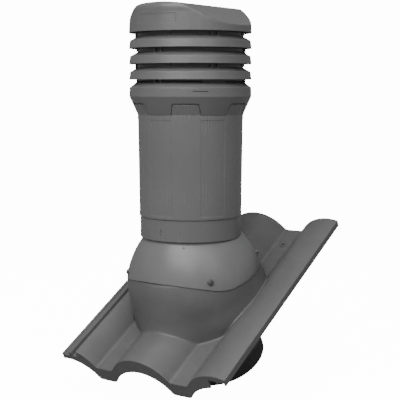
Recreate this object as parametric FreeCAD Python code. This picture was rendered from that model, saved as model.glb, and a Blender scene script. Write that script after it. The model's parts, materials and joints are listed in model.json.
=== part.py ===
import FreeCAD, Part
import math
import os

V = FreeCAD.Vector

# The row frame is plumb: +Z up, +X along the eave, +Y up the slope.
# Its origin is the centre of the duct spigot's open end, under the roof tile.
# Two working frames share the X axis:
#   the roof frame, leaned back by the roof pitch, whose Z is the height over the spigot's end
#   the pipe frame, plumb, whose Z is the height over the point where pipe and bell axes cross

# Roof and tile plate
PITCH = 28.4
TILE_LEFT = 159.3
TILE_RIGHT = 170.7
TILE_EAVE = 199.8
TILE_RIDGE = 220.2
SHEET = 3.0
WAVE_PITCH = 150.0
ROLL_R = 66.0
ROLL_SINK = 32.0
ROLL_FOOT = 8.0
PAN_HEIGHT = 128.0

# Side interlock on the left edge: widths along X, heights over the pan
LOCK_FLOOR = 14.5
LOCK_OUTER_TOP = 19.5
LOCK_OUTER_WIDTH = 4.0
LOCK_GROOVE_TOP = 17.2
LOCK_RIB_TOP = 24.0
LOCK_RIB_LEFT = 15.0
LOCK_RIB_WIDTH = 6.0
LOCK_DRAFT = 1.5
LOCK_WIDTH = 34.0

# Overlap lip on the right edge
LIP_WIDTH = 32.0
LIP_RIB = 3.0
LIP_RIB_END = 19.7
LIP_INNER_RIB = 14.5

# Nose along the eave
NOSE_DEPTH = 25.0
NOSE_WALL = 3.0
NOSE_LIP_BOTTOM = 24.3

# Fixings at the ridge end
NIB_FACE = 190.0
NIB_LENGTH = 12.0
NIB_WIDTH = 30.0
NIB_DEPTH = 16.0
PAN_OFFSET = 75.0
NAIL_LINE = 173.8
NAIL_R = 2.75
NAIL_BOSS_R = 6.5
NAIL_BOSS_RISE = 1.4

# Bell: hood and collar share one form of revolution about the roof normal
BELL_R = 114.75
BELL_RISE = 111.4
BELL_FORM = 1.57
BELL_EQUATOR = 62.0
BELL_TOP = 98.0
BELL_STEPS = 7
FLARE_OUT = 6.0
FLARE_DROP = 42.0
HOOD_WALL = 2.0
HOOD_GAP = 0.3
COLLAR_WALL = 3.0
COLLAR_SEAT = 12.0
COLLAR_RIM = 44.0

# Skirt of the hood: its lower edge seen along X, two lines and a round, in the pipe frame
SKIRT_Y = -46.0
SKIRT_Z = -22.9
SKIRT_FRONT_SLOPE = 12.4
SKIRT_REAR_SLOPE = 16.2
SKIRT_ROUND = 75.0

# Pipe: heights are over the point where the two axes cross
PIVOT = 8.4
RING_BOTTOM = 55.0
RING_TOP = 92.3
RING_STEP = 1.5
RING_SPIGOT = 11.0
RING_SPIGOT_WALL = 1.6
RING_CHAMFER = 1.5
MARK_WIDTH = 1.2
MARK_DEPTH = 1.0
MARK_LOW = 10.0
MARK_HEIGHT = 10.0
SLEEVE_R = 86.4
SLEEVE_WALL = 2.5
SLEEVE_DRAFT = 2.0
FIT = 0.3
NECK_TOP = 112.0
NECK_WALL = 2.5
LEDGE = 3.0
DUCT_WALL = 3.0
INSULATION = 8.3
SEAL_HEIGHT = 8.0

# Head: base with tabs, louvre rings and cap
HEAD_REACH = 15.6
HEAD_WALL = 2.0
FLARE_HEIGHT = 29.5
BAND_HEIGHT = 13.9
BAND_DRAFT = 0.5
BAND_SHOULDER = 11.0
NOTCH_HEIGHT = 18.5
NOTCH_TURN = 30.0
SLIT_TURN = 44.0
SLIT_WIDTH = 24.0
SLIT_HEIGHT = 1.2
SLIT_DEPTH = 1.2
SLIT_DROP = 5.0
NOTCH_ANGLE_LOW = 28.0
NOTCH_ANGLE_TOP = 24.4
NOTCH_ROUND = 3.0
NOTCH_GAP = 0.9
MERLON_SHY = 0.4
SIXTHS = 6
LOUVRE_LIP = 318.3
LOUVRE_PITCH = 25.5
LOUVRE_RINGS = 3
FACE_HEIGHT = 12.0
FACE_DRAFT = 1.7
FACE_EDGE = 1.6
SHOULDER_HEIGHT = 7.5
SHOULDER_REACH = 14.0
POST_WIDTH = 2.4
POST_SPREAD = 7.4
POST_DEPTH = 8.0
POST_PROUD = 4.0
PAD_ANGLE = 28.0
PAD_HEIGHT = 4.5
PAD_PROUD = 2.0
CAP_HEIGHT = 44.0
CAP_SHOULDER = 8.5
CAP_SLOPE = 31.7
CAP_CROWN = 2.0
CAP_EDGE = 12.0
CAP_RIDGE_ROUND = 8.0
CAP_WALL = 2.5

# Duct adaptor under the tile
SPIGOT_R = 80.0
SPIGOT_WALL = 3.5
FLANGE = 3.0
GASKET = 2.0
UPTURN = 14.0
RIB_COUNT = 6
RIB_PITCH = 4.0
GROOVE_DEPTH = 1.8
RIB_SHY = 0.1

# Screws
SCREW_R = 1.9
SCREW_HOLE_R = 2.0
SCREW_HEAD_R = 4.0
SCREW_HEAD = 2.4
SCREW_LENGTH = 14.0
SCREW_DRIVE_R = 1.6
SCREW_DRIVE = 1.5
SCREW_SINK = 1.0
SHANK_TOP = 0.5
FRONT_SCREW_X = 84.0
FRONT_SCREW_HEIGHT = 96.0
REAR_SCREW_X = 90.0
REAR_SCREW_HEIGHT = 62.0

BELL_CENTRE = PAN_HEIGHT + BELL_EQUATOR
CROSSING = BELL_CENTRE + PIVOT
SEAT = PAN_HEIGHT - COLLAR_SEAT
SLEEVE_BORE = SLEEVE_R - SLEEVE_WALL
NECK_OUT = SLEEVE_BORE - RING_SPIGOT_WALL - 2 * FIT
NECK_BORE = NECK_OUT - NECK_WALL
HEAD_R = SLEEVE_R + HEAD_REACH
RING_R = SLEEVE_R - RING_STEP
DUCT_R = SLEEVE_BORE - INSULATION - 2 * FIT
BACK_R = HEAD_R - SHOULDER_REACH
UPSTAND = LOUVRE_PITCH - FACE_HEIGHT - SHOULDER_HEIGHT
BAND_TOP = LOUVRE_LIP - LOUVRE_PITCH + FACE_HEIGHT
BAND_BOTTOM = BAND_TOP - BAND_HEIGHT
TAB_BOTTOM = BAND_BOTTOM - FLARE_HEIGHT
NOTCH_TOP = TAB_BOTTOM + NOTCH_HEIGHT
DUCT_TOP = BAND_TOP
WEB = BAND_TOP - 2 * HEAD_WALL
SIXTH = 360.0 / SIXTHS
LAST_LIP = LOUVRE_LIP + LOUVRE_RINGS * LOUVRE_PITCH
FAR = 600.0


def lean(shape):
    """Move a shape from the roof frame to the row frame."""
    moved = shape.copy()
    moved.rotate(V(0, 0, 0), V(1, 0, 0), PITCH)
    return moved


def stand(shape):
    """Move a shape from the pipe frame to the row frame."""
    moved = shape.copy()
    angle = math.radians(PITCH)
    moved.translate(V(0, -math.sin(angle) * CROSSING, math.cos(angle) * CROSSING))
    return moved


def face(start, *steps):
    """Face in the XZ plane. A step of one point is a line, of two an arc through the first."""
    edges = []
    here = V(start[0], 0, start[1])
    for step in steps:
        points = [V(x, 0, z) for x, z in step]
        if len(points) == 1:
            edges.append(Part.LineSegment(here, points[0]).toShape())
        else:
            edges.append(Part.Arc(here, points[0], points[1]).toShape())
        here = points[-1]
    return Part.Face(Part.Wire(edges))


def rounded(x, z, radius):
    """Step round the corner (x, z), from the wall under it to the top left of it."""
    share = 1 - math.sqrt(0.5)
    return ((x - share * radius, z - share * radius), (x - radius, z))


def polygon(*points):
    return face(points[-1], *[(point,) for point in points])


def turned(section):
    return section.revolve(V(0, 0, 0), V(0, 0, 1), 360)


def tube(outer, inner, bottom, top):
    return turned(polygon((inner, bottom), (outer, bottom), (outer, top), (inner, top)))


def box(x0, x1, y0, y1, z0, z1):
    return Part.makeBox(x1 - x0, y1 - y0, z1 - z0, V(x0, y0, z0))


def turn(shape, angle):
    """Turn about the pipe's axis. Angle 0 faces down the slope, positive towards +X."""
    copy = shape.copy()
    copy.rotate(V(0, 0, 0), V(0, 0, 1), angle)
    return copy


def roll_point(centre, along, inset):
    """Point of a roll's arc, at a distance along X from the roll's centre."""
    radius = ROLL_R - inset
    return (centre + along, math.sqrt(radius ** 2 - along ** 2) - ROLL_SINK)


def foot_points(centre, side, inset):
    """Points of the round between roll and pan: on the roll, on its middle, on the pan."""
    reach = math.sqrt((ROLL_R + ROLL_FOOT) ** 2 - (ROLL_FOOT + ROLL_SINK) ** 2)
    share = (ROLL_R - inset) / (ROLL_R + ROLL_FOOT)
    on_roll = (reach * share, (ROLL_FOOT + ROLL_SINK) * share - ROLL_SINK)
    round_r = ROLL_FOOT + inset
    half = 0.5 * math.asin(reach / (ROLL_R + ROLL_FOOT))
    middle = (reach - round_r * math.sin(half), ROLL_FOOT - round_r * math.cos(half))
    on_pan = (reach, -inset)
    return [(centre + side * x, z) for x, z in (on_roll, middle, on_pan)]


def wave(left, right, inset):
    """Steps of the wave line from left of the first roll's right side to right on the last roll."""
    first, last = -WAVE_PITCH, WAVE_PITCH
    steps = []
    here = left - first
    for centre in (first, 0.0, last):
        end = foot_points(centre, 1, inset) if centre < last else None
        stop = end[0][0] - centre if end else right - last
        steps.append((roll_point(centre, 0.5 * (here + stop), inset), roll_point(centre, stop, inset)))
        if end:
            steps.append((end[1], end[2]))
            rise = foot_points(centre + WAVE_PITCH, -1, inset)
            steps.append((rise[2],))
            steps.append((rise[1], rise[0]))
            here = rise[0][0] - centre - WAVE_PITCH
    return steps


def backwards(start, steps):
    """The same line walked from its end to its start."""
    points = [start] + [step[-1] for step in steps]
    back = []
    for index in range(len(steps) - 1, -1, -1):
        step = steps[index]
        back.append((points[index],) if len(step) == 1 else (step[0], points[index]))
    return back


def lowered(steps, drop):
    return [tuple((x, z - drop) for x, z in step) for step in steps]


def band(left, right, top_inset, bottom_inset, drop):
    """Section between two wave lines, the lower one also moved down by drop."""
    top_start = roll_point(-WAVE_PITCH, left + WAVE_PITCH, top_inset)
    top = wave(left, right, top_inset)
    low_start = roll_point(-WAVE_PITCH, left + WAVE_PITCH, bottom_inset)
    low = lowered(wave(left, right, bottom_inset), drop)
    low_start = (low_start[0], low_start[1] - drop)
    return face(top_start, *top, (low[-1][-1],), *backwards(low_start, low), (top_start,))


def along_slope(section, start, end):
    section.translate(V(0, start, PAN_HEIGHT))
    return section.extrude(V(0, end - start, 0))


def lock_section():
    """Side interlock of the left edge: outer rib, groove, middle rib, groove."""
    x0 = -TILE_LEFT
    rib = x0 + LOCK_RIB_LEFT
    wall = x0 + LOCK_WIDTH
    mid_sheet = 0.5 * SHEET
    return polygon(
        (x0, LOCK_FLOOR), (x0, LOCK_OUTER_TOP), (x0 + LOCK_OUTER_WIDTH, LOCK_OUTER_TOP),
        (x0 + LOCK_OUTER_WIDTH + LOCK_DRAFT, LOCK_GROOVE_TOP), (rib, LOCK_GROOVE_TOP),
        (rib + LOCK_DRAFT, LOCK_RIB_TOP), (rib + LOCK_RIB_WIDTH, LOCK_RIB_TOP),
        (rib + LOCK_RIB_WIDTH + LOCK_DRAFT, LOCK_GROOVE_TOP), (wall - LOCK_DRAFT, LOCK_GROOVE_TOP),
        roll_point(-WAVE_PITCH, wall + WAVE_PITCH, mid_sheet),
        roll_point(-WAVE_PITCH, wall + SHEET + WAVE_PITCH, mid_sheet), (wall + SHEET, LOCK_FLOOR))


def lip_rib(left, right):
    top = 0.5 * LIP_RIB
    return polygon((left, LIP_RIB_END), (right, LIP_RIB_END),
                   (right, roll_point(WAVE_PITCH, right - WAVE_PITCH, top)[1]),
                   (left, roll_point(WAVE_PITCH, left - WAVE_PITCH, top)[1]))


def nose():
    """Skirt that hangs along the eave, under the sheet's wave line."""
    lock_end = -TILE_LEFT + LOCK_WIDTH
    lip_start = TILE_RIGHT - LIP_WIDTH
    main = band(lock_end, lip_start, 0.5 * SHEET, 0.0, NOSE_DEPTH)
    mid = 0.5 * (lock_end - TILE_LEFT)
    floor = [roll_point(-WAVE_PITCH, x + WAVE_PITCH, 0.0) for x in (-TILE_LEFT, mid, lock_end)]
    floor = [(x, z - NOSE_DEPTH) for x, z in floor]
    over = 0.5 * (LOCK_FLOOR + LOCK_GROOVE_TOP)
    lock = face(floor[0], (floor[1], floor[2]), ((lock_end, over),), ((-TILE_LEFT, over),), (floor[0],))
    arc = [roll_point(WAVE_PITCH, x - WAVE_PITCH, 0.5 * SHEET)
           for x in (lip_start, 0.5 * (lip_start + TILE_RIGHT), TILE_RIGHT)]
    lip = face(arc[0], (arc[1], arc[2]), ((TILE_RIGHT, NOSE_LIP_BOTTOM),),
               ((lip_start, NOSE_LIP_BOTTOM),), (arc[0],))
    parts = [along_slope(section, -TILE_EAVE, NOSE_WALL - TILE_EAVE) for section in (main, lock, lip)]
    return parts


def plate():
    sheet = along_slope(band(-TILE_LEFT + LOCK_WIDTH, TILE_RIGHT, 0.0, SHEET, 0.0), -TILE_EAVE, TILE_RIDGE)
    lock = along_slope(lock_section(), -TILE_EAVE, TILE_RIDGE)
    edge = along_slope(lip_rib(TILE_RIGHT - LIP_RIB, TILE_RIGHT), -TILE_EAVE, TILE_RIDGE)
    inner_right = TILE_RIGHT - LIP_INNER_RIB
    inner = along_slope(lip_rib(inner_right - LIP_RIB, inner_right), -TILE_EAVE, TILE_RIDGE)
    return sheet.multiFuse([lock, edge, inner] + nose()).removeSplitter()


def bell_radius(height, inset):
    """Radius of the bell at a height over its equator."""
    share = height / (BELL_RISE - inset)
    return (BELL_R - inset) * (1 - share ** BELL_FORM) ** (1 / BELL_FORM)


def bell(inset, bottom):
    """Solid bell in the roof frame: flared wall below its equator, rounded form above."""
    equator = BELL_R - inset
    foot = equator + FLARE_OUT
    swing = (FLARE_DROP ** 2 + FLARE_OUT ** 2) / (2 * FLARE_OUT)
    middle = 0.5 * math.asin(FLARE_DROP / swing)
    points = []
    for step in range(BELL_STEPS + 1):
        height = BELL_TOP * math.sin(0.5 * math.pi * step / BELL_STEPS)
        points.append(V(bell_radius(height, inset), 0, BELL_CENTRE + height))
    form = Part.BSplineCurve()
    form.interpolate(Points=points)
    top = points[-1]
    low = V(foot, 0, BELL_CENTRE - FLARE_DROP)
    mid = V(equator + swing * (1 - math.cos(middle)), 0, BELL_CENTRE - swing * math.sin(middle))
    edges = [
        Part.LineSegment(V(0, 0, bottom), V(foot, 0, bottom)).toShape(),
        Part.LineSegment(V(foot, 0, bottom), low).toShape(),
        Part.Arc(low, mid, points[0]).toShape(),
        form.toShape(),
        Part.LineSegment(top, V(0, 0, top.z)).toShape(),
        Part.LineSegment(V(0, 0, top.z), V(0, 0, bottom)).toShape()]
    return lean(turned(Part.Face(Part.Wire(edges))))


def screw_places():
    """Point on the bell and outward direction of each hood screw, in the roof frame."""
    places = {}
    for name, x, height, front in (("front", FRONT_SCREW_X, FRONT_SCREW_HEIGHT, -1),
                                   ("rear", REAR_SCREW_X, REAR_SCREW_HEIGHT, 1)):
        over = height - BELL_EQUATOR
        radius = bell_radius(over, 0.0)
        y = front * math.sqrt(radius ** 2 - x ** 2)
        out = (radius / BELL_R) ** (BELL_FORM - 1) / BELL_R
        up = (over / BELL_RISE) ** (BELL_FORM - 1) / BELL_RISE
        for side, sign in (("left", -1), ("right", 1)):
            normal = V(sign * x / radius * out, y / radius * out, up)
            normal.normalize()
            places[name + "_" + side] = (V(sign * x, y, BELL_CENTRE + over), normal)
    return places


def screw_rod(place, radius, start, end):
    """Rod along a screw's axis, from start to end measured outwards from the bell."""
    point, normal = place
    return lean(Part.makeCylinder(radius, end - start, point + normal * start, normal))


def base_tile():
    outer = bell(HOOD_WALL + HOOD_GAP, SEAT)
    inner = bell(HOOD_WALL + HOOD_GAP + COLLAR_WALL, SEAT - FLANGE)
    above = stand(box(-FAR, FAR, -FAR, FAR, COLLAR_RIM, FAR))
    tile = lean(plate()).fuse(outer.cut(above))
    tile = tile.cut(inner)
    for x in (-PAN_OFFSET, PAN_OFFSET):
        half = 0.5 * NIB_WIDTH
        under = PAN_HEIGHT - SHEET
        nib = box(x - half, x + half, NIB_FACE, NIB_FACE + NIB_LENGTH, under - NIB_DEPTH, under + 1.0)
        boss = Part.makeCylinder(NAIL_BOSS_R, SHEET + NAIL_BOSS_RISE - 1.0, V(x, NAIL_LINE, under + 1.0))
        hole = Part.makeCylinder(NAIL_R, 4 * SHEET, V(x, NAIL_LINE, under - SHEET))
        tile = tile.fuse(lean(nib)).fuse(lean(boss)).cut(lean(hole))
    for place in screw_places().values():
        tile = tile.cut(screw_rod(place, SCREW_R, -4 * COLLAR_WALL, SCREW_HEAD))
    return tile.removeSplitter()


def skirt_cutter():
    """All that lies under the hood's lower edge."""
    front = math.radians(SKIRT_FRONT_SLOPE)
    rear = math.radians(SKIRT_REAR_SLOPE)
    half = 0.5 * (front + rear)
    reach = SKIRT_ROUND * math.tan(half)
    rise = SKIRT_ROUND * (1 / math.cos(half) - 1)
    middle = half - front
    corner = V(0, SKIRT_Y, SKIRT_Z)
    start = corner + V(0, -math.cos(front), math.sin(front)) * reach
    low = corner + V(0, -math.sin(middle), math.cos(middle)) * rise
    end = corner + V(0, math.cos(rear), math.sin(rear)) * reach
    outer_front = corner + V(0, -math.cos(front), math.sin(front)) * FAR
    outer_rear = corner + V(0, math.cos(rear), math.sin(rear)) * FAR
    points = [end, outer_rear, V(0, outer_rear.y, -FAR), V(0, outer_front.y, -FAR), outer_front, start]
    edges = [Part.Arc(start, low, end).toShape()]
    for first, second in zip(points, points[1:]):
        edges.append(Part.LineSegment(first, second).toShape())
    section = Part.Face(Part.Wire(edges))
    section.translate(V(-FAR, 0, 0))
    return stand(section.extrude(V(2 * FAR, 0, 0)))


def hood():
    """Bell shell with a plumb neck and a round pocket for the ring that stands on it."""
    pocket_r = RING_R + FIT
    bottom = -CROSSING
    shell = bell(0.0, SEAT)
    neck = tube(NECK_OUT, NECK_BORE, COLLAR_RIM, NECK_TOP)
    ledge = tube(NECK_OUT, DUCT_R - DUCT_WALL, RING_BOTTOM - LEDGE, RING_BOTTOM)
    shell = shell.fuse(stand(neck)).fuse(stand(ledge))
    pocket = tube(pocket_r, NECK_OUT, RING_BOTTOM, NECK_TOP)
    shell = shell.cut(stand(pocket))
    room = bell(HOOD_WALL, SEAT - FLANGE)
    keep = Part.makeCylinder(pocket_r + HOOD_WALL, FAR, V(0, 0, RING_BOTTOM - LEDGE))
    room = room.cut(stand(keep))
    bore = Part.makeCylinder(NECK_BORE, FAR, V(0, 0, RING_BOTTOM))
    mouth = Part.makeCylinder(DUCT_R - DUCT_WALL, FAR, V(0, 0, bottom))
    shell = shell.cut(room).cut(stand(bore)).cut(stand(mouth)).cut(skirt_cutter())
    for place in screw_places().values():
        shell = shell.cut(screw_rod(place, SCREW_HOLE_R, -2 * HOOD_WALL, SCREW_HEAD))
    return shell.removeSplitter()


def hood_screw(place):
    shank = screw_rod(place, SCREW_R, -SCREW_LENGTH, SHANK_TOP)
    head = screw_rod(place, SCREW_HEAD_R, -SCREW_SINK, SCREW_HEAD)
    drive = screw_rod(place, SCREW_DRIVE_R, SCREW_HEAD - SCREW_DRIVE, 2 * SCREW_HEAD)
    under = bell(0.0, SEAT)
    return head.cut(under).fuse(shank).cut(drive).removeSplitter()


def base_ring():
    """Ring round the hood's neck, with a spigot for the sleeve and a mark that faces down the slope."""
    inner = NECK_OUT + FIT
    spigot = SLEEVE_BORE - FIT
    low = RING_BOTTOM + MARK_LOW
    mark = box(-0.5 * MARK_WIDTH, 0.5 * MARK_WIDTH, -RING_R - 1.0, MARK_DEPTH - RING_R, low, low + MARK_HEIGHT)
    ring = turned(polygon(
        (inner, RING_BOTTOM), (RING_R - RING_CHAMFER, RING_BOTTOM), (RING_R, RING_BOTTOM + RING_CHAMFER),
        (RING_R, RING_TOP), (spigot, RING_TOP), (spigot, RING_TOP + RING_SPIGOT), (inner, RING_TOP + RING_SPIGOT)))
    return ring.cut(mark)


def cone_radius(height):
    """Outside of the head base's cone at a height."""
    low = SLEEVE_R + FIT + HEAD_WALL
    return low + (HEAD_R - low) * (height - TAB_BOTTOM) / (BAND_BOTTOM - TAB_BOTTOM)


def outer_sleeve():
    """Plain pipe, flared inside the head base up to its web, with a merlon in each of its notches."""
    rim = HEAD_R - BAND_DRAFT - HEAD_WALL - FIT
    low = cone_radius(TAB_BOTTOM)
    flare_top = TAB_BOTTOM + FLARE_HEIGHT * (rim - SLEEVE_R) / (HEAD_R - low)
    stop = TAB_BOTTOM - FIT
    pipe = turned(polygon(
        (SLEEVE_BORE, RING_TOP), (SLEEVE_R, RING_TOP), (SLEEVE_R + SLEEVE_DRAFT, stop), (SLEEVE_R, stop),
        (SLEEVE_R, TAB_BOTTOM), (rim, flare_top), (rim, WEB), (rim - SLEEVE_WALL, WEB),
        (rim - SLEEVE_WALL, flare_top), (SLEEVE_BORE, TAB_BOTTOM)))
    root = TAB_BOTTOM - 1.0
    skin = MERLON_SHY
    core = HEAD_WALL + FIT + 0.5 * SLEEVE_WALL
    ring = turned(polygon(
        (cone_radius(root) - core, root), (cone_radius(root) - skin, root),
        (cone_radius(NOTCH_TOP) - skin, NOTCH_TOP), (cone_radius(NOTCH_TOP) - core, NOTCH_TOP)))
    merlon = ring.common(notch(NOTCH_GAP))
    return pipe.multiFuse([turn(merlon, NOTCH_TURN + sixth * SIXTH) for sixth in range(SIXTHS)])


def louvre_outline(top, radius, shoulder):
    """Outside of one louvre from the top of its face to its neck, as steps of a section."""
    crown = top + shoulder
    return [((radius, top),), rounded(radius, top + FACE_EDGE, FACE_EDGE),
            ((BACK_R, crown),), ((BACK_R, crown + UPSTAND),)]


def louvre(lip):
    wall = HEAD_WALL
    top = lip + FACE_HEIGHT - wall
    crown = lip + FACE_HEIGHT + SHOULDER_HEIGHT
    inner = BACK_R - wall
    return turned(face(
        (HEAD_R, lip), *louvre_outline(lip + FACE_HEIGHT, HEAD_R - FACE_DRAFT, SHOULDER_HEIGHT),
        ((inner, crown + UPSTAND),), ((inner, crown - wall),),
        ((HEAD_R - FACE_DRAFT - wall, top),), ((HEAD_R - wall, lip),), ((HEAD_R, lip),)))


def louvre_core(lip, bottom, draft=FACE_DRAFT, shoulder=SHOULDER_HEIGHT):
    """Everything inside a louvre's outside, down to a bottom height."""
    outline = louvre_outline(lip + FACE_HEIGHT, HEAD_R - draft, shoulder)
    return turned(face((0, bottom), ((HEAD_R, bottom),), ((HEAD_R, lip),), *outline,
                       ((0, lip + LOUVRE_PITCH),), ((0, bottom),)))


def posts(lip, first, roof, floor):
    """Pairs of ribs that carry the piece above: from the floor solid under them up into the roof solid."""
    outer = BACK_R + POST_PROUD
    rib = box(-0.5 * POST_WIDTH, 0.5 * POST_WIDTH, -outer, -(outer - POST_DEPTH), lip, lip + LOUVRE_PITCH + CAP_HEIGHT)
    ribs = []
    for third in range(SIXTHS // 2):
        for side in (-1, 1):
            ribs.append(turn(rib, first + third * 2 * SIXTH + side * POST_SPREAD * 0.5))
    group = ribs[0].multiFuse(ribs[1:])
    return group.common(roof).cut(floor)


def pads(lip, first):
    """Raised stretches of a louvre's neck, just under the lip above."""
    top = lip + LOUVRE_PITCH
    low = top - PAD_HEIGHT
    root = BACK_R - 0.5 * HEAD_WALL
    wedge = tube(BACK_R + PAD_PROUD, root, low, top)
    half = math.radians(0.5 * PAD_ANGLE)
    reach = 2 * HEAD_R
    tip = V(0, 0, low)
    left = V(-reach * math.tan(half), -reach, low)
    right = V(reach * math.tan(half), -reach, low)
    sector = Part.Face(Part.makePolygon([tip, left, right, tip])).extrude(V(0, 0, LOUVRE_PITCH))
    block = wedge.common(sector)
    return [turn(block, first + third * 2 * SIXTH) for third in range(SIXTHS // 2)]


def louvre_ring(number):
    """A louvre with pads on its shoulder, and posts down to the louvre below."""
    lip = LOUVRE_LIP + number * LOUVRE_PITCH
    first = SIXTH * (number % 2)
    ring = louvre(lip).multiFuse(pads(lip, first))
    roof = louvre_core(lip - 0.5 * HEAD_WALL, lip - LOUVRE_PITCH)
    under = lip - LOUVRE_PITCH
    draft, shoulder = (FACE_DRAFT, SHOULDER_HEIGHT) if number else (BAND_DRAFT, BAND_SHOULDER)
    floor = louvre_core(under, under - LOUVRE_PITCH, draft, shoulder)
    return ring.fuse(posts(under, first, roof, floor)).removeSplitter()


def notch(gap):
    """Prism of one notch between two tabs, seen from the front, smaller all round by a gap."""
    low = HEAD_R * math.sin(math.radians(0.5 * NOTCH_ANGLE_LOW)) - gap
    top = HEAD_R * math.sin(math.radians(0.5 * NOTCH_ANGLE_TOP)) - gap
    bottom = TAB_BOTTOM - 1.0
    roof = NOTCH_TOP - 2 * gap
    section = polygon((-low, bottom), (low, bottom), (top, roof), (-top, roof))
    section.translate(V(0, -1.2 * HEAD_R, 0))
    block = section.extrude(V(0, 0.6 * HEAD_R, 0))
    upper = [edge for edge in block.Edges
             if abs(edge.CenterOfMass.z - roof) < 1e-6 and abs(edge.CenterOfMass.x) > 1e-3]
    return block.makeFillet(NOTCH_ROUND, upper)


def slit():
    """Cutter of one latch slit in the band of the head base, seen from the front."""
    top = BAND_TOP - SLIT_DROP
    floor = HEAD_R - BAND_DRAFT - SLIT_DEPTH
    ring = tube(HEAD_R + 1.0, floor, top - SLIT_HEIGHT, top)
    return ring.common(box(-0.5 * SLIT_WIDTH, 0.5 * SLIT_WIDTH, -2 * HEAD_R, 0, top - SLIT_HEIGHT, top))


def head_base():
    wall = HEAD_WALL
    lip = BAND_TOP - FACE_HEIGHT
    crown = BAND_TOP + BAND_SHOULDER
    neck_top = lip + LOUVRE_PITCH
    inner = BACK_R - wall
    low_r = cone_radius(TAB_BOTTOM)
    web_top = WEB + wall
    collar = DUCT_R + FIT
    shell = turned(face(
        (low_r, TAB_BOTTOM), ((HEAD_R, BAND_BOTTOM),),
        *louvre_outline(BAND_TOP, HEAD_R - BAND_DRAFT, BAND_SHOULDER)[:-1], ((BACK_R, neck_top),),
        ((inner, neck_top),), ((inner, crown - wall),), ((HEAD_R - BAND_DRAFT - wall, web_top),),
        ((collar + wall, web_top),), ((collar + wall, crown),), ((collar, crown),), ((collar, WEB),),
        ((HEAD_R - BAND_DRAFT - wall, WEB),), ((HEAD_R - wall, BAND_BOTTOM),),
        ((low_r - wall, TAB_BOTTOM),), ((low_r, TAB_BOTTOM),)))
    for sixth in range(SIXTHS):
        shell = shell.cut(turn(notch(0.0), NOTCH_TURN + sixth * SIXTH))
    for third in range(SIXTHS // 2):
        shell = shell.cut(turn(slit(), SLIT_TURN + third * 2 * SIXTH))
    return shell.multiFuse(pads(lip, SIXTH)).removeSplitter()


def cap_profile(inset):
    """Front view of the cap's top: a crowned ridge between two side slopes, with rounded corners."""
    slope = math.radians(CAP_SLOPE)
    rise = CAP_HEIGHT - inset
    half = HEAD_R - (CAP_HEIGHT - CAP_SHOULDER) / math.tan(slope) - inset * math.tan(0.5 * slope)
    round_r = CAP_RIDGE_ROUND - inset
    reach = round_r * math.tan(0.5 * slope)
    drop = round_r * (1 / math.cos(0.5 * slope) - 1)
    over = 1.2 * HEAD_R
    flat = (half - reach, rise)
    middle = (half - drop * math.sin(0.5 * slope), rise - drop * math.cos(0.5 * slope))
    start = (half + reach * math.cos(slope), rise - reach * math.sin(slope))
    low = (over, rise - (over - half) * math.tan(slope))
    floor = -2 * CAP_HEIGHT
    return face((-flat[0], rise), ((0, rise + CAP_CROWN), flat), (middle, start), (low,), ((over, floor),),
                ((-over, floor),), ((-over, low[1]),), ((-start[0], start[1]),),
                ((-middle[0], middle[1]), (-flat[0], rise)))


def cap_body(inset, bottom):
    """Solid of the cap's outside: a drum with a rounded top edge under the ridged profile."""
    radius = HEAD_R - inset
    neck = radius - FACE_DRAFT
    top = LAST_LIP + CAP_HEIGHT + CAP_CROWN - inset
    edge = CAP_EDGE - inset
    drum = turned(face((0, bottom), ((radius, bottom),), ((neck, top - edge),), rounded(neck, top, edge),
                       ((0, top),), ((0, bottom),)))
    profile = cap_profile(inset)
    profile.translate(V(0, -1.2 * HEAD_R, LAST_LIP))
    return drum.common(profile.extrude(V(0, 2.4 * HEAD_R, 0)))


def cap():
    shell = cap_body(0.0, LAST_LIP).cut(cap_body(CAP_WALL, LAST_LIP - 1.0))
    roof = cap_body(0.5 * CAP_WALL, LAST_LIP - LOUVRE_PITCH)
    under = LAST_LIP - LOUVRE_PITCH
    floor = louvre_core(under, under - LOUVRE_PITCH)
    below = posts(under, SIXTH * (LOUVRE_RINGS % 2), roof, floor)
    return shell.fuse(below).removeSplitter()


def duct_adaptor():
    """Flange under the collar's seat, upturned rim inside it and a round spigot down to the duct."""
    seat_r = BELL_R - HOOD_WALL - HOOD_GAP + FLARE_OUT
    rim = seat_r - COLLAR_WALL - FIT
    top = SEAT - GASKET
    bore = SPIGOT_R - SPIGOT_WALL
    groove = SPIGOT_R - GROOVE_DEPTH
    low = RIB_PITCH
    high = (RIB_COUNT + 1) * RIB_PITCH
    return lean(turned(polygon(
        (bore, 0), (SPIGOT_R, 0), (SPIGOT_R, low), (groove, low), (groove, high), (SPIGOT_R, high),
        (SPIGOT_R, top - FLANGE), (seat_r, top - FLANGE), (seat_r, top), (rim, top), (rim, SEAT + UPTURN),
        (rim - FLANGE, SEAT + UPTURN), (rim - FLANGE, top), (bore, top))))


def flange_gasket():
    seat_r = BELL_R - HOOD_WALL - HOOD_GAP + FLARE_OUT
    return lean(tube(seat_r, seat_r - COLLAR_WALL, SEAT - GASKET, SEAT))


def adaptor_seal():
    """Rubber band in the spigot's groove, with fine ribs round it."""
    groove = SPIGOT_R - GROOVE_DEPTH
    valley = groove + 0.5 * GROOVE_DEPTH
    tip = SPIGOT_R - RIB_SHY
    points = [(groove, RIB_PITCH)]
    for number in range(RIB_COUNT):
        low = (number + 1) * RIB_PITCH
        points += [(valley, low), (tip, low + 0.25 * RIB_PITCH), (tip, low + 0.5 * RIB_PITCH)]
    top = (RIB_COUNT + 1) * RIB_PITCH
    points += [(valley, top), (groove, top)]
    return lean(turned(polygon(*points)))


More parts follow.
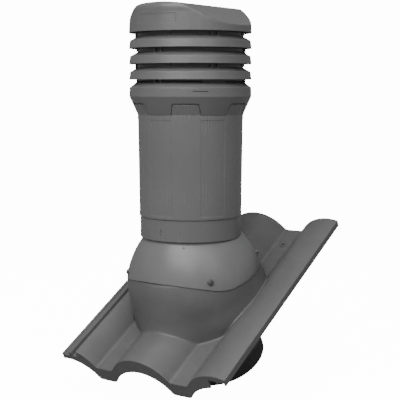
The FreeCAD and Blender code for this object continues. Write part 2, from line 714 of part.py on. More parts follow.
def collar_seal():
    """Soft strip that lies on the collar's rim, inside the hood."""
    outer = bell(HOOD_WALL + 0.5 * HOOD_GAP, SEAT)
    inner = bell(HOOD_WALL + HOOD_GAP + COLLAR_WALL, SEAT - FLANGE)
    slab = stand(box(-FAR, FAR, -FAR, FAR, COLLAR_RIM, RING_BOTTOM - LEDGE))
    return outer.cut(inner).common(slab)


def build():
    places = screw_places()
    nodes = {
        "base_tile": base_tile(),
        "hood": hood(),
        "collar_seal": collar_seal(),
        "base_ring": stand(base_ring()),
        "outer_sleeve": stand(outer_sleeve()),
        "inner_pipe": stand(tube(DUCT_R, DUCT_R - DUCT_WALL, RING_BOTTOM, DUCT_TOP)),
        "pipe_seal": stand(tube(NECK_BORE, DUCT_R, RING_BOTTOM, RING_BOTTOM + SEAL_HEIGHT)),
        "insulation": stand(tube(SLEEVE_BORE - FIT, DUCT_R + FIT, NECK_TOP, TAB_BOTTOM)),
        "head_base": stand(head_base()),
        "cap": stand(cap()),
        "duct_adaptor": duct_adaptor(),
        "flange_gasket": flange_gasket(),
        "adaptor_seal": adaptor_seal()}
    for name, place in places.items():
        nodes["hood_screw_" + name] = hood_screw(place)
    for number in range(LOUVRE_RINGS):
        nodes["louvre_ring_" + str(number + 1)] = stand(louvre_ring(number))
    return nodes


os.makedirs("parts", exist_ok=True)
for name, shape in build().items():
    solids = shape.Solids
    box_ = shape.BoundBox
    print(name, len(solids), "solid", round(shape.Volume / 1000.0, 1), "cm3", shape.isValid(),
          [round(value, 1) for value in (box_.XMin, box_.XMax, box_.YMin, box_.YMax, box_.ZMin, box_.ZMax)])
    result = solids[0] if len(solids) == 1 else Part.makeCompound(solids)
    result.exportStep("parts/" + name + ".step")
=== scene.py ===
import json
import math

import bmesh
import bpy
from mathutils import Matrix, Vector


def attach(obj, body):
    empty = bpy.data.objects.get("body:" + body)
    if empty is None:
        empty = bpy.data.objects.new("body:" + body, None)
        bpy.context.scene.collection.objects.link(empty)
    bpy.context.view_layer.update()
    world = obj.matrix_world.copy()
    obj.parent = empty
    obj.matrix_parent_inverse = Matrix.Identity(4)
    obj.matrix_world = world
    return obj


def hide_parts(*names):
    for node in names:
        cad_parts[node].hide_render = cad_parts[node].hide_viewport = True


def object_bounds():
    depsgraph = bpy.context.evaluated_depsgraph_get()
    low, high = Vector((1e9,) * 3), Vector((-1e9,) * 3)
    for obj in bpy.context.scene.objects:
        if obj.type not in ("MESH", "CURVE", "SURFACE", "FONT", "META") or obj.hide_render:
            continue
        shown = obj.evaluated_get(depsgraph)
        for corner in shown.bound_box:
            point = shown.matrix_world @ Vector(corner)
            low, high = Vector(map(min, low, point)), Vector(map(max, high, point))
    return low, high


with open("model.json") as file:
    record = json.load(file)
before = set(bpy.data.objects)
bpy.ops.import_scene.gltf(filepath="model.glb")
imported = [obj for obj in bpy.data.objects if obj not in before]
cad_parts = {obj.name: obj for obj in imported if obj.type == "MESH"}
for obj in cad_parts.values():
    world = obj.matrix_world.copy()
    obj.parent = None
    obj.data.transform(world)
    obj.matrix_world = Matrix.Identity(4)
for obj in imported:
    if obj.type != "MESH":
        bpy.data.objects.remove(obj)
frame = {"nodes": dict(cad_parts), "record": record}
cad_low, cad_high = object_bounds()

# Sizes in metres. The roof leans, and the pipe stands plumb over the point (0, PIPE_Y).
ROOF_PITCH = math.radians(28.4)
CROSSING = 0.1984
PIPE_Y = -math.sin(ROOF_PITCH) * CROSSING
PIPE_Z = math.cos(ROOF_PITCH) * CROSSING
PAN_HEIGHT = 0.128
SIXTH = math.radians(60.0)

# Bell of the hood
BELL_CENTRE = 0.190
BELL_R = 0.11475
BELL_RISE = 0.1114
BELL_FORM = 1.57
EQUATOR_HEIGHT = 0.062

# Screws of the hood: name, place across, height over the pans, side, turn of the cross
SCREW_PLACES = (("front_left", -0.084, 0.096, -1, 20.0),
                ("front_right", 0.084, 0.096, -1, 35.0),
                ("rear_left", -0.090, 0.062, 1, 50.0),
                ("rear_right", 0.090, 0.062, 1, 5.0))
SCREW_R = 0.0054
SCREW_WASHER_DEPTH = 0.0024
SCREW_WASHER_EDGE = 0.0005
SCREW_WASHER_RIM = 0.0010
SCREW_DOME = ((0.0015, 0.90), (0.0006, 0.72))
SCREW_SHOULDER = 0.0035
SCREW_SHANK = 0.0105
SCREW_POINT = 0.0024
SCREW_POINT_SHARE = 0.15
DRIVE_LONG = 0.0046
DRIVE_WIDE = 0.0012
DRIVE_HEIGHT = 0.0034
DRIVE_DEPTH = 0.0030

# Gate mark of the hood, its place told in the pipe's frame
GATE_X = 0.038
GATE_Y = -0.074
GATE_Z = 0.048
GATE_R = 0.0019
GATE_DEPTH = 0.0016
GATE_EDGE = 0.0006
BUTTON_LIFT = 0.0002

# Collar and the rolls of the plate
COLLAR_R = 0.11245
COLLAR_RISE = 0.1091
COLLAR_FLARE_R = 0.150
COLLAR_FLARE_DROP = 0.042
RIM_HEIGHT = 0.044
ROLL_PITCH = 0.150
ROLL_R = 0.066
ROLL_SINK = 0.032
ROLL_FOOT = 0.008

# Skin of the collar. A knot of its wall is a height over the equator, a radius and a slope.
WALL_LINE = ((0.046, 0.0934, 0.70), (0.034, 0.1013, 0.55), (0.022, 0.10715, 0.42),
             (-0.014, 0.1150, 0.09), (-0.042, 0.1193, 0.12), (-0.064, 0.1203, 0.03))
FRONT_REACH = 0.0123
FRONT_REACH_TURN = math.radians(31.0)
FRONT_REACH_FORM = 1.5
REACH_START = 0.080
SKIN_TOP = 0.106
SKIN_RIM_GAP = 0.0015
FOOT_ROUND = 0.0030
FOOT_SINK = 0.0002
FOOT_TRIES = 8
INNER_GAP = 0.001
INNER_SINK = 0.0015
SKIN_TURNS = 256
WALL_STEPS = 20
FOOT_STEPS = 5
INNER_STEPS = 6

# Outer sleeve with its panels, heights over the crossing
SLEEVE_R = 0.0864
SLEEVE_LOW = 0.0923
TAB_LOW = 0.2614
PANEL_HALF = math.radians(14.4)
PANEL_LOW = SLEEVE_LOW + 0.0050
PANEL_TOP = TAB_LOW - 0.0078
PANEL_EDGE = 0.0005
PANEL_DEPTH = 0.0004
SLEEVE_SKIN = 0.0008

# Cap, heights over its lip
HEAD_R = 0.102
CAP_LIP = 0.3948
CAP_R = 0.1003
CAP_HEIGHT = 0.0429
CAP_CROWN = 0.0030
CAP_RIDGE = 0.0439
CAP_SLOPE = math.radians(31.7)
CAP_EDGE = 0.0085
CAP_FOOT = 0.0118
CAP_EASE = 0.0014
CAP_RIDGE_EASE = 0.0006
CAP_RIDGE_REACH = 0.004
CAP_DRAFT_HEIGHT = 0.030
CAP_WALL = 0.0025
CAP_SAMPLE = 0.0013
CAP_SMOOTHINGS = 5
DRUM_DEPTH = 0.075
DRUM_MIDDLE = 0.0235
DRUM_RINGS = 26
DRUM_EDGE_RINGS = 9
DRUM_EDGE_STEP = 0.0012
DRUM_STEP = 0.0050
DRUM_FLOOR = 0.001
POST_REACH = 0.088
POST_MIDDLE = 0.0045
POST_SIZE = (0.0024, 0.008, 0.027)
POST_TURN = math.radians(3.7)
POST_EDGE = 0.0004

# Panel in the cap's front: bearings and heights where it starts and ends
CAP_PANEL_LEFT = (-0.345, -0.339)
CAP_PANEL_RIGHT = (0.378, 0.384)
CAP_PANEL_LOW = (0.0118, 0.0124)
CAP_PANEL_HIGH = (0.0266, 0.0272)

# Studio
FLOOR_SIZE = 40.0
FLOOR_GAP = 0.0005
WALL_R = 19.0
WALL_HEIGHT = 38.0
STUDIO_GLOW = 14.0
SKY_STRENGTH = 0.25
LIGHT_TARGET = (0.0, -0.09, 0.26)
LIGHT_DISTANCE = 2.4
CAMERA_PLACE = (0.95036, -1.45967, 0.48680)
CAMERA_AZIMUTH = math.radians(34.29)
CAMERA_PITCH = math.radians(6.73)
CAMERA_LENS = 89.03
CAMERA_SENSOR = 36.0
CAMERA_REACH = 100.0


# Shader wiring

class Wire:
    """A value in a material. Arithmetic on it adds the sums to that material."""

    def __init__(self, mix, socket):
        self.mix = mix
        self.socket = socket

    def __add__(self, other):
        return self.mix.sum_of("ADD", self, other)

    def __radd__(self, other):
        return self.mix.sum_of("ADD", other, self)

    def __sub__(self, other):
        return self.mix.sum_of("SUBTRACT", self, other)

    def __rsub__(self, other):
        return self.mix.sum_of("SUBTRACT", other, self)

    def __mul__(self, other):
        return self.mix.sum_of("MULTIPLY", self, other)

    def __rmul__(self, other):
        return self.mix.sum_of("MULTIPLY", other, self)

    def above(self, start, end):
        """0 below start, 1 above end, smooth between them."""
        settings = {"data_type": "FLOAT", "interpolation_type": "SMOOTHSTEP"}
        return self.mix.node("ShaderNodeMapRange", settings, {0: self, 1: start, 2: end})


class Finish:
    """A procedural material, wired on the object's own coordinates."""

    def __init__(self, name):
        self.material = bpy.data.materials.new(name)
        self.material.use_nodes = True
        self.tree = self.material.node_tree
        self.tree.nodes.clear()
        self.place = self.node("ShaderNodeTexCoord", out="Object")
        parts = self.node("ShaderNodeSeparateXYZ", {}, {0: self.place}, out=None)
        self.x, self.y, self.z = [Wire(self, parts.outputs[axis]) for axis in "XYZ"]

    def node(self, kind, settings=None, sockets=None, out=0):
        """Any node: its settings first, then its sockets' values or links. Gives one output."""
        made = self.tree.nodes.new(kind)
        for key, value in (settings or {}).items():
            setattr(made, key, value)
        for key, value in (sockets or {}).items():
            if isinstance(value, Wire):
                self.tree.links.new(value.socket, made.inputs[key])
            else:
                made.inputs[key].default_value = value
        if out is None:
            return made
        return Wire(self, made.outputs[out])

    def noise(self, scale, detail, roughness, place=None):
        return self.node("ShaderNodeTexNoise", {}, {"Vector": place or self.place, "Scale": scale,
                                                    "Detail": detail, "Roughness": roughness})

    def grain(self):
        """Fine grain that the mould's spark-eroded wall leaves on plastic."""
        return self.node("ShaderNodeTexVoronoi", {"feature": "SMOOTH_F1"},
                         {"Vector": self.place, "Scale": 1150.0, "Smoothness": 0.6})

    def dust(self, amount):
        """Film of roof dust in drifting patches."""
        return self.noise(26.0, 6.0, 0.65).above(0.42, 0.78) * amount

    def stretched(self, scale):
        """The object's coordinates, multiplied by one number for each axis."""
        return self.node("ShaderNodeMapping", {}, {"Vector": self.place, "Scale": scale})

    def blend(self, factor, first, second):
        """Colour between first and second."""
        return self.node("ShaderNodeMix", {"data_type": "RGBA"},
                         {0: factor, 6: first, 7: second}, out=2)

    def soft_edges(self, radius):
        """Normal that turns smoothly over edges and inner corners, as on a moulding."""
        return self.node("ShaderNodeBevel", {"samples": 6}, {"Radius": radius})

    def azimuth(self):
        """Angle round the pipe, 0 down the slope and positive towards +X."""
        return self.sum_of("ARCTAN2", self.x, PIPE_Y - self.y)

    def sum_of(self, operation, *values):
        return self.node("ShaderNodeMath", {"operation": operation}, dict(enumerate(values)))

    def bump(self, height, distance, strength, below=None):
        sockets = {"Height": height, "Distance": distance, "Strength": strength}
        if below is not None:
            sockets["Normal"] = below
        return self.node("ShaderNodeBump", {}, sockets)

    def close(self, **sockets):
        """The shader itself. Names use _ for a space."""
        named = {key.replace("_", " "): value for key, value in sockets.items()}
        shader = self.node("ShaderNodeBsdfPrincipled", {}, named)
        self.node("ShaderNodeOutputMaterial", {}, {"Surface": shader}, out=None)
        return self.material


def rgb(tone, warm=0.0):
    return (tone * (1 + warm), tone, tone * (1 - warm) * 1.02, 1.0)


def moulded_plastic(name, tone, roughness, flow=0.0, dust=0.0):
    """Graphite plastic: fine grain, faint flow marks and a little roof dust."""
    mix = Finish(name)
    cloud = mix.noise(9.0, 4.0, 0.55)
    speck = mix.noise(900.0, 2.0, 0.6)
    streak = mix.noise(1.0, 3.0, 0.6, mix.stretched((60.0, 60.0, 6.0)))
    colour = mix.blend(cloud.above(0.3, 0.7), rgb(tone * 0.94), rgb(tone * 1.06))
    colour = mix.blend(speck.above(0.62, 0.75) * 0.25, colour, rgb(tone * 1.5))
    if dust:
        colour = mix.blend(mix.dust(dust), colour, rgb(tone * 2.1, 0.03))
    rough = roughness + (cloud - 0.5) * 0.08 + (streak - 0.5) * 0.06 + (speck - 0.5) * 0.05
    normal = mix.bump(mix.grain(), 0.00012, 0.35, mix.soft_edges(0.0012))
    if flow:
        normal = mix.bump(streak, flow, 0.5, normal)
    return mix.close(Base_Color=colour, Roughness=rough, Normal=normal, IOR=1.47)


def seal_rubber():
    mix = Finish("seal_rubber")
    bloom = mix.noise(40.0, 4.0, 0.6).above(0.4, 0.75)
    colour = mix.blend(bloom, rgb(0.018), rgb(0.034))
    fine = mix.noise(1400.0, 2.0, 0.6)
    return mix.close(Base_Color=colour, Roughness=0.62 + bloom * 0.14,
                     Normal=mix.bump(fine, 0.00008, 0.5), IOR=1.5)


def coated_steel():
    mix = Finish("coated_steel")
    wear = mix.noise(700.0, 4.0, 0.6).above(0.6, 0.72)
    colour = mix.blend(wear, rgb(0.09), rgb(0.34))
    return mix.close(Base_Color=colour, Metallic=0.35 + wear * 0.5,
                     Roughness=0.42 - wear * 0.12, Normal=mix.bump(wear, 0.00004, 0.4))


def foam():
    mix = Finish("insulation_foam")
    beads = mix.node("ShaderNodeTexVoronoi", {"feature": "F1"},
                     {"Vector": mix.place, "Scale": 320.0})
    colour = mix.blend(beads.above(0.1, 0.7), (0.78, 0.78, 0.75, 1), (0.6, 0.6, 0.57, 1))
    return mix.close(Base_Color=colour, Roughness=0.86, Normal=mix.bump(beads, 0.0006, 0.6))


def cap_plastic():
    """Plastic of the cap, with a shallow bare panel pressed into its front."""
    mix = Finish("cap_plastic")
    turn = mix.azimuth()
    high = mix.z - (PIPE_Z + CAP_LIP)
    inside = (turn.above(*CAP_PANEL_LEFT) * (1 - turn.above(*CAP_PANEL_RIGHT))
              * high.above(*CAP_PANEL_LOW) * (1 - high.above(*CAP_PANEL_HIGH)))
    cloud = mix.noise(9.0, 4.0, 0.55)
    speck = mix.noise(900.0, 2.0, 0.6)
    colour = mix.blend(cloud.above(0.3, 0.7), rgb(0.111), rgb(0.125))
    colour = mix.blend(speck.above(0.62, 0.75) * 0.25, colour, rgb(0.177))
    colour = mix.blend(mix.dust(0.06), colour, rgb(0.248, 0.03))
    rough = 0.34 + (cloud - 0.5) * 0.08 + (speck - 0.5) * 0.05
    normal = mix.bump(mix.grain(), 0.00012, 0.35, mix.soft_edges(0.0015))
    normal = mix.bump(1 - inside, 0.0005, 0.9, normal)
    return mix.close(Base_Color=colour, Roughness=rough, Normal=normal, IOR=1.47)


def pipe_plastic():
    """Sleeve plastic: smoother than the tile, with faint lines along the pipe."""
    mix = Finish("pipe_plastic")
    tone = 0.134
    cloud = mix.noise(7.0, 4.0, 0.55)
    lines = mix.noise(1.0, 3.0, 0.6, mix.stretched((420.0, 420.0, 3.0)))
    colour = mix.blend(cloud.above(0.3, 0.7), rgb(tone * 0.95), rgb(tone * 1.05))
    rough = 0.27 + (cloud - 0.5) * 0.05 + (lines - 0.5) * 0.02
    normal = mix.bump(mix.grain(), 0.00008, 0.3, mix.soft_edges(0.0012))
    normal = mix.bump(lines, 0.00002, 0.3, normal)
    return mix.close(Base_Color=colour, Roughness=rough, Normal=normal, IOR=1.47)


FINISHES = {
    "tile_plastic": moulded_plastic("tile_plastic", 0.110, 0.42, flow=0.0002, dust=0.10),
    "hood_plastic": moulded_plastic("hood_plastic", 0.148, 0.34, dust=0.06),
    "head_plastic": moulded_plastic("head_plastic", 0.123, 0.34, dust=0.06),
    "pipe_plastic": pipe_plastic(),
    "inner_plastic": moulded_plastic("inner_plastic", 0.2, 0.5),
    "adaptor_plastic": moulded_plastic("adaptor_plastic", 0.028, 0.52),
    "seal_rubber": seal_rubber(),
    "screw_coating": coated_steel(),
    "foam": foam(),
}


def paint(piece, slot):
    """Give a piece the finish of one of the record's slots."""
    piece.data.materials.clear()
    piece.data.materials.append(FINISHES[slot])


for entry in frame["record"]["subparts"]:
    paint(frame["nodes"][entry["node"]], entry["material_slot"])


# Frames: the leaned one of the roof, and the plumb one of the pipe
ROOF = Matrix.Rotation(ROOF_PITCH, 4, "X")
PIPE = Matrix.Translation((0.0, PIPE_Y, PIPE_Z))


# Bench work: each step is one that a modeller does by hand

def clear():
    bpy.ops.object.select_all(action="DESELECT")


def take(piece):
    """Select one piece alone."""
    clear()
    piece.select_set(True)
    bpy.context.view_layer.objects.active = piece


def start(shape, **size):
    """Add a primitive with nothing else selected, its place in its mesh."""
    clear()
    getattr(bpy.ops.mesh, "primitive_" + shape + "_add")(**size)
    bpy.ops.object.transform_apply(location=True, rotation=True, scale=True)
    return bpy.context.object


def cast(node):
    """Copy of a CAD node's mesh, its loose triangles merged."""
    piece = frame["nodes"][node].copy()
    piece.data = piece.data.copy()
    piece.parent = None
    for key in list(piece.keys()):
        del piece[key]
    bpy.context.scene.collection.objects.link(piece)
    open_up(piece)
    bpy.ops.mesh.select_all(action="SELECT")
    bpy.ops.mesh.remove_doubles(threshold=0.00001)
    bpy.ops.mesh.customdata_custom_splitnormals_clear()
    close_up()
    return piece


def open_up(piece, kind="FACE"):
    """Edit mode with nothing selected."""
    take(piece)
    bpy.ops.object.mode_set(mode="EDIT")
    bpy.ops.mesh.select_mode(type=kind)
    bpy.ops.mesh.select_all(action="DESELECT")


def close_up():
    bpy.ops.object.mode_set(mode="OBJECT")


def middle(part):
    total = Vector((0.0, 0.0, 0.0))
    for vertex in part.verts:
        total += vertex.co
    return total / len(part.verts)


def pick(piece, kind, test):
    """Select the faces or edges that pass a test, in edit mode."""
    bpy.ops.mesh.select_mode(type=kind)
    form = bmesh.from_edit_mesh(piece.data)
    form.normal_update()
    bpy.ops.mesh.select_all(action="DESELECT")
    chosen = form.faces if kind == "FACE" else form.edges
    for part in chosen:
        if test(part):
            part.select_set(True)
    bmesh.update_edit_mesh(piece.data)


def slice_at(point, normal, **settings):
    """Cut all of the open piece by a plane."""
    bpy.ops.mesh.select_all(action="SELECT")
    bpy.ops.mesh.bisect(plane_co=point, plane_no=normal, **settings)


def push(rise, share=1.0):
    """Extrude the selected faces along Z and scale them across by a share."""
    bpy.ops.mesh.extrude_region_move(TRANSFORM_OT_translate={"value": (0.0, 0.0, rise)})
    if share != 1.0:
        bpy.ops.transform.resize(value=(share, share, 1.0))


def apply(piece, kind, **settings):
    modifier = piece.modifiers.new(kind.lower(), kind)
    for key, value in settings.items():
        setattr(modifier, key, value)
    take(piece)
    bpy.ops.object.modifier_apply(modifier=modifier.name)


def merge(pieces):
    """Join pieces into the first one."""
    clear()
    for piece in pieces:
        piece.select_set(True)
    bpy.context.view_layer.objects.active = pieces[0]
    bpy.ops.object.join()


def settle(piece, name, slot, place, angle=35.0, stands_for=None):
    """Put a piece's place into its mesh, give it its finish and let it ride."""
    piece.name = name
    piece.data.name = name
    piece.data.transform(place @ piece.matrix_world)
    piece.matrix_world = Matrix.Identity(4)
    take(piece)
    bpy.ops.object.shade_smooth_by_angle(angle=math.radians(angle))
    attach(piece, "root")
    paint(piece, slot)
    if stands_for:
        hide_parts(stands_for)


def bearing(point):
    """Angle of a point round the pipe's axis, 0 down the slope."""
    return math.atan2(point.x, -point.y)


def off_sixth(angle):
    """Distance of an angle from the nearest of six equal directions."""
    turns = angle / SIXTH
    return abs(turns - round(turns)) * SIXTH


# Pan head screws of the hood

def bell_point(x, over, front):
    """Place and outward direction on the bell, at a height over its equator, in the roof frame."""
    share = (max(over, 0.0) / BELL_RISE) ** BELL_FORM
    radius = BELL_R * (1.0 - share) ** (1.0 / BELL_FORM)
    y = front * math.sqrt(radius ** 2 - x ** 2)
    out = (radius / BELL_R) ** (BELL_FORM - 1.0) / BELL_R
    up = (max(over, 0.0) / BELL_RISE) ** (BELL_FORM - 1.0) / BELL_RISE
    normal = Vector((x / radius * out, y / radius * out, up)).normalized()
    return Vector((x, y, BELL_CENTRE + over)), normal


def on_bell(point, normal):
    """Frame whose Z stands out of the bell at a point."""
    aim = normal.to_track_quat("Z", "Y").to_matrix().to_4x4()
    return ROOF @ Matrix.Translation(point) @ aim


def make_screw():
    """Washer head with a dome and a crossed drive, over a plain shank with a point."""
    screw = start("cylinder", vertices=40, radius=SCREW_R, depth=SCREW_WASHER_DEPTH,
                  location=(0.0, 0.0, BUTTON_LIFT))
    open_up(screw)
    pick(screw, "EDGE", lambda edge: middle(edge).z > 0.0010 and middle(edge).length > 0.004)
    bpy.ops.mesh.bevel(offset=SCREW_WASHER_EDGE, segments=3, affect="EDGES")
    pick(screw, "FACE", lambda face: face.normal.z > 0.99)
    bpy.ops.mesh.inset(thickness=SCREW_WASHER_RIM)
    for rise, share in SCREW_DOME:
        push(rise, share)
    pick(screw, "FACE", lambda face: face.normal.z < -0.99)
    bpy.ops.mesh.inset(thickness=SCREW_SHOULDER)
    push(-SCREW_SHANK)
    push(-SCREW_POINT, SCREW_POINT_SHARE)
    close_up()
    for wide, deep in ((DRIVE_LONG, DRIVE_WIDE), (DRIVE_WIDE, DRIVE_LONG)):
        bit = start("cube", size=1.0, location=(0.0, 0.0, DRIVE_HEIGHT),
                    scale=(wide, deep, DRIVE_DEPTH))
        apply(screw, "BOOLEAN", operation="DIFFERENCE", object=bit, solver="EXACT")
        bpy.data.objects.remove(bit)
    return screw


def place_screws():
    screw = make_screw()
    for name, x, height, front, turn in SCREW_PLACES:
        copy = screw.copy()
        copy.data = screw.data.copy()
        bpy.context.scene.collection.objects.link(copy)
        place = on_bell(*bell_point(x, height - EQUATOR_HEIGHT, front))
        spin = Matrix.Rotation(math.radians(turn), 4, "Z")
        settle(copy, "pan_head_screw_" + name, "screw_coating", place @ spin, 30.0,
               "hood_screw_" + name)
    bpy.data.objects.remove(screw)


# Gate mark: the little stud that moulding left on the hood's front

def make_gate_mark():
    target = PIPE @ Vector((GATE_X, GATE_Y, GATE_Z))
    height = (ROOF.inverted() @ target).z - BELL_CENTRE
    stud = start("cylinder", vertices=24, radius=GATE_R, depth=GATE_DEPTH,
                 location=(0.0, 0.0, BUTTON_LIFT))
    open_up(stud)
    pick(stud, "EDGE", lambda edge: middle(edge).z > 0.0009)
    bpy.ops.mesh.bevel(offset=GATE_EDGE, segments=3, affect="EDGES")
    close_up()
    settle(stud, "hood_gate_mark", "hood_plastic", on_bell(*bell_point(GATE_X, height, -1)))


# Skin of the collar: its wall, and the round between the wall and the wave of the plate

def wave_height(x):
    """Height of the plate's top over the pans."""
    along = abs(x - ROLL_PITCH * round(x / ROLL_PITCH))
    reach = math.sqrt((ROLL_R + ROLL_FOOT) ** 2 - (ROLL_FOOT + ROLL_SINK) ** 2)
    if along <= reach * ROLL_R / (ROLL_R + ROLL_FOOT):
        return math.sqrt(ROLL_R ** 2 - along ** 2) - ROLL_SINK
    if along < reach:
        return ROLL_FOOT - math.sqrt(ROLL_FOOT ** 2 - (reach - along) ** 2)
    return 0.0


def core_radius(over):
    """Outside of the CAD collar at a height over its equator."""
    if over >= 0.0:
        return COLLAR_R * (1.0 - (over / COLLAR_RISE) ** BELL_FORM) ** (1.0 / BELL_FORM)
    drop = min(-over, COLLAR_FLARE_DROP)
    return COLLAR_R + COLLAR_FLARE_R - math.sqrt(COLLAR_FLARE_R ** 2 - drop ** 2)


def wall_radius(over):
    """Outside of the skin: one smooth line just outside the CAD collar."""
    for (high, start_r, start_slope), (low, end_r, end_slope) in zip(WALL_LINE, WALL_LINE[1:]):
        if over >= low:
            break
    span = high - low
    share = min(max((high - over) / span, 0.0), 1.0)
    left = 1.0 - share
    return (left ** 2 * (1 + 2 * share) * start_r + left ** 2 * share * span * start_slope
            + share ** 2 * (3 - 2 * share) * end_r - share ** 2 * left * span * end_slope)


def collar_outline(angle):
    """Closed outline of the collar's skin at one bearing, as radius and height over the pans."""
    turn = min(abs(angle), 2.0 * math.pi - abs(angle))
    reach = max(0.0, FRONT_REACH * (1.0 - (turn / FRONT_REACH_TURN) ** 2))
    lean = COLLAR_R * math.cos(angle) * math.sin(ROOF_PITCH)
    rim = (PIPE_Z + RIM_HEIGHT + lean) / math.cos(ROOF_PITCH)
    top = min(SKIN_TOP, rim - PAN_HEIGHT - SKIN_RIM_GAP)
    ground = 0.0
    for _ in range(FOOT_TRIES):
        foot = wall_radius(ground - EQUATOR_HEIGHT) + reach
        ground = wave_height(foot * math.sin(angle))
    line = []
    knee = ground + FOOT_ROUND
    for step in range(WALL_STEPS):
        height = top + (knee - top) * step / (WALL_STEPS - 1)
        share = min(max((REACH_START - height) / (REACH_START - ground), 0.0), 1.0)
        radius = wall_radius(height - EQUATOR_HEIGHT) + reach * share ** FRONT_REACH_FORM
        line.append(Vector((radius, height)))
    knee_point = line[-1]
    corner = Vector((foot, ground))
    end_r = foot + FOOT_ROUND
    end = Vector((end_r, wave_height(end_r * math.sin(angle)) - FOOT_SINK))
    for step in range(1, FOOT_STEPS + 1):
        share = step / FOOT_STEPS
        point = (1 - share) ** 2 * knee_point + 2 * share * (1 - share) * corner + share ** 2 * end
        point.y = max(point.y, wave_height(point.x * math.sin(angle)) - FOOT_SINK)
        line.append(point)
    inner_low = ground - INNER_SINK
    for step in range(INNER_STEPS):
        height = inner_low + (top - inner_low) * step / (INNER_STEPS - 1)
        line.append(Vector((core_radius(height - EQUATOR_HEIGHT) - INNER_GAP, height)))
    return line


def make_collar_skin():
    """Closed band over the collar's wall, down to its round foot on the wave of the plate."""
    steps = WALL_STEPS + FOOT_STEPS + INNER_STEPS
    band = start("torus", major_segments=SKIN_TURNS, minor_segments=steps,
                 major_radius=0.12, minor_radius=0.004)
    for ring in range(SKIN_TURNS):
        angle = 2.0 * math.pi * ring / SKIN_TURNS
        for step, point in enumerate(collar_outline(angle)):
            band.data.vertices[ring * steps + step].co = Vector((
                point.x * math.sin(angle), -point.x * math.cos(angle), PAN_HEIGHT + point.y))
    open_up(band)
    bpy.ops.mesh.select_all(action="SELECT")
    bpy.ops.mesh.normals_make_consistent(inside=False)
    close_up()
    settle(band, "collar_skin", "tile_plastic", ROOF, 60.0)


# Outer sleeve with its shallow panels under the tabs

def on_panel(face):
    """Is an outer face of the sleeve within one of the six panels?"""
    place = middle(face)
    return (PANEL_LOW < place.z < PANEL_TOP and off_sixth(bearing(place)) < PANEL_HALF
            and Vector((place.x, place.y)).length > SLEEVE_R - SLEEVE_SKIN)


def make_sleeve():
    sleeve = cast("outer_sleeve")
    sleeve.data.transform(PIPE.inverted())
    open_up(sleeve)
    for height in (PANEL_TOP, PANEL_LOW):
        slice_at((0.0, 0.0, height), (0.0, 0.0, 1.0))
    for third in range(3):
        for side in (-1, 1):
            angle = third * SIXTH + side * PANEL_HALF
            slice_at((0.0, 0.0, 0.2), (math.cos(angle), math.sin(angle), 0.0))
    pick(sleeve, "FACE", on_panel)
    bpy.ops.mesh.inset(thickness=PANEL_EDGE, depth=-PANEL_DEPTH)
    close_up()
    settle(sleeve, "panelled_sleeve", "pipe_plastic", PIPE, 30.0, "outer_sleeve")


# Cap: a drum pressed to a ridge with two slopes, softened, hollowed, with its posts

def cap_top(x):
    """Height of the cap's top over its lip: a crowned ridge, then a slope that flattens out."""
    along = abs(x)
    ridge = CAP_HEIGHT + CAP_CROWN * (1.0 - (along / CAP_RIDGE) ** 2)
    slope = CAP_HEIGHT - (along - CAP_RIDGE) * math.tan(CAP_SLOPE)
    gap = (slope - CAP_FOOT) / CAP_EASE
    slope = CAP_FOOT + CAP_EASE * math.log(1.0 + math.exp(min(gap, 60.0)))
    if abs(slope - ridge) > CAP_RIDGE_REACH:
        return min(slope, ridge)
    return -CAP_RIDGE_EASE * math.log(math.exp(-slope / CAP_RIDGE_EASE)
                                      + math.exp(-ridge / CAP_RIDGE_EASE))


def press_top(drum):
    """Bring the drum's top down to the ridge and slopes, its edge rounded."""
    inner = CAP_R - CAP_EDGE
    for vertex in drum.data.vertices:
        place = vertex.co
        if place.z < CAP_LIP + 2.0 * DRUM_FLOOR:
            continue
        reach = min(max((math.hypot(place.x, place.y) - inner) / CAP_EDGE, 0.0), 1.0)
        edge = (CAP_HEIGHT + CAP_CROWN - CAP_EDGE
                + CAP_EDGE * math.sqrt(max(1.0 - reach ** 2, 0.0)))
        place.z = CAP_LIP + min(cap_top(place.x), edge)


def lean_wall(drum):
    """Let the wall lean out to the lip by the mould's draft."""
    for vertex in drum.data.vertices:
        place = vertex.co
        share = max(0.0, 1.0 - (place.z - CAP_LIP) / CAP_DRAFT_HEIGHT)
        flare = 1.0 + (HEAD_R - CAP_R) / CAP_R * share
        place.x *= flare
        place.y *= flare


def make_posts():
    """Pairs of posts under the cap, at three of the six directions."""
    posts = []
    for third in range(3):
        for side in (-1, 1):
            post = start("cube", size=1.0, location=(0.0, -POST_REACH, CAP_LIP + POST_MIDDLE),
                         scale=POST_SIZE)
            turn = SIXTH + third * 2 * SIXTH + side * POST_TURN
            post.data.transform(Matrix.Rotation(turn, 4, "Z"))
            open_up(post, "EDGE")
            bpy.ops.mesh.select_all(action="SELECT")
            bpy.ops.mesh.bevel(offset=POST_EDGE, segments=2, affect="EDGES")
            close_up()
            posts.append(post)
    return posts


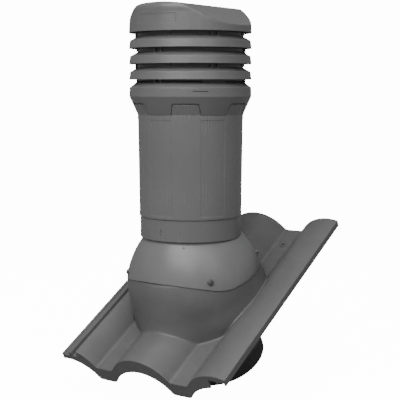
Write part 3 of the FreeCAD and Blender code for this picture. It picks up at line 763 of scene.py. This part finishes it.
def make_cap():
    drum = start("cylinder", vertices=180, radius=CAP_R, depth=DRUM_DEPTH,
                 location=(0.0, 0.0, CAP_LIP + DRUM_MIDDLE))
    open_up(drum)
    pick(drum, "FACE", lambda face: face.normal.z > 0.9)
    for ring in range(DRUM_RINGS):
        bpy.ops.mesh.inset(thickness=DRUM_EDGE_STEP if ring < DRUM_EDGE_RINGS else DRUM_STEP)
    slice_at((0.0, 0.0, CAP_LIP + DRUM_FLOOR), (0.0, 0.0, 1.0))
    close_up()
    press_top(drum)
    apply(drum, "REMESH", mode="VOXEL", voxel_size=CAP_SAMPLE)
    open_up(drum, "VERT")
    bpy.ops.mesh.select_all(action="SELECT")
    bpy.ops.mesh.vertices_smooth(factor=0.5, repeat=CAP_SMOOTHINGS)
    slice_at((0.0, 0.0, CAP_LIP), (0.0, 0.0, 1.0), clear_inner=True)
    close_up()
    lean_wall(drum)
    apply(drum, "SOLIDIFY", thickness=CAP_WALL, offset=-1.0)
    merge([drum] + make_posts())
    settle(drum, "ridged_cap", "head_plastic", PIPE, 32.0, "cap")
    drum.data.materials[0] = cap_plastic()


# Studio

def stage(piece, name, material):
    """Set a piece of the studio, which the vent neither mirrors nor is lit by."""
    piece.name = name
    piece.data.materials.append(material)
    piece.visible_diffuse = False
    piece.visible_glossy = False


def make_stage():
    """Pale floor inside a round white wall, under an even sky."""
    floor_z = cad_low.z - FLOOR_GAP
    paper = Finish("studio_floor")
    white = paper.blend(paper.noise(3.0, 2.0, 0.5), (0.86, 0.86, 0.86, 1), (0.88, 0.88, 0.88, 1))
    pale = paper.close(Base_Color=white, Roughness=0.9, Emission_Color=(1, 1, 1, 1),
                       Emission_Strength=STUDIO_GLOW)
    stage(start("plane", size=FLOOR_SIZE, location=(0.0, 0.0, floor_z)), "studio_floor", pale)
    glow = Finish("studio_wall")
    light = glow.node("ShaderNodeEmission", {},
                      {"Color": (1.0, 1.0, 1.0, 1.0), "Strength": STUDIO_GLOW})
    glow.node("ShaderNodeOutputMaterial", {}, {"Surface": light}, out=None)
    wall = start("cylinder", vertices=96, radius=WALL_R, depth=WALL_HEIGHT,
                 location=(0.0, 0.0, floor_z))
    wall.visible_shadow = False
    stage(wall, "studio_wall", glow.material)
    world = bpy.data.worlds.new("studio")
    bpy.context.scene.world = world
    world.use_nodes = True
    sky = world.node_tree.nodes["Background"]
    sky.inputs["Color"].default_value = (1.0, 1.0, 1.0, 1.0)
    sky.inputs["Strength"].default_value = SKY_STRENGTH


def soft_light(name, azimuth, elevation, size, power):
    """Softbox round the vent. Azimuth 0 stands at the eave, positive towards +X."""
    target = Vector(LIGHT_TARGET)
    azimuth, elevation = math.radians(azimuth), math.radians(elevation)
    flat = LIGHT_DISTANCE * math.cos(elevation)
    place = target + Vector((flat * math.sin(azimuth), -flat * math.cos(azimuth),
                             LIGHT_DISTANCE * math.sin(elevation)))
    light = bpy.data.lights.new(name, "AREA")
    light.shape = "RECTANGLE"
    light.size, light.size_y = size
    light.energy = power
    lamp = bpy.data.objects.new(name, light)
    bpy.context.scene.collection.objects.link(lamp)
    lamp.location = place
    lamp.rotation_euler = (target - place).to_track_quat("-Z", "Y").to_euler()


def make_camera():
    camera = bpy.data.objects.new("camera", bpy.data.cameras.new("camera"))
    bpy.context.scene.collection.objects.link(camera)
    camera.location = CAMERA_PLACE
    camera.rotation_euler = (math.pi / 2 - CAMERA_PITCH, 0.0, CAMERA_AZIMUTH)
    camera.data.lens = CAMERA_LENS
    camera.data.sensor_width = CAMERA_SENSOR
    camera.data.clip_end = CAMERA_REACH
    bpy.context.scene.camera = camera


place_screws()
make_gate_mark()
make_collar_skin()
make_sleeve()
make_cap()
make_stage()
soft_light("key", 10.0, 40.0, (2.0, 1.5), 60.0)
soft_light("side", 62.0, 38.0, (1.4, 1.4), 15.0)
soft_light("top", 0.0, 84.0, (1.4, 1.4), 13.0)
make_camera()
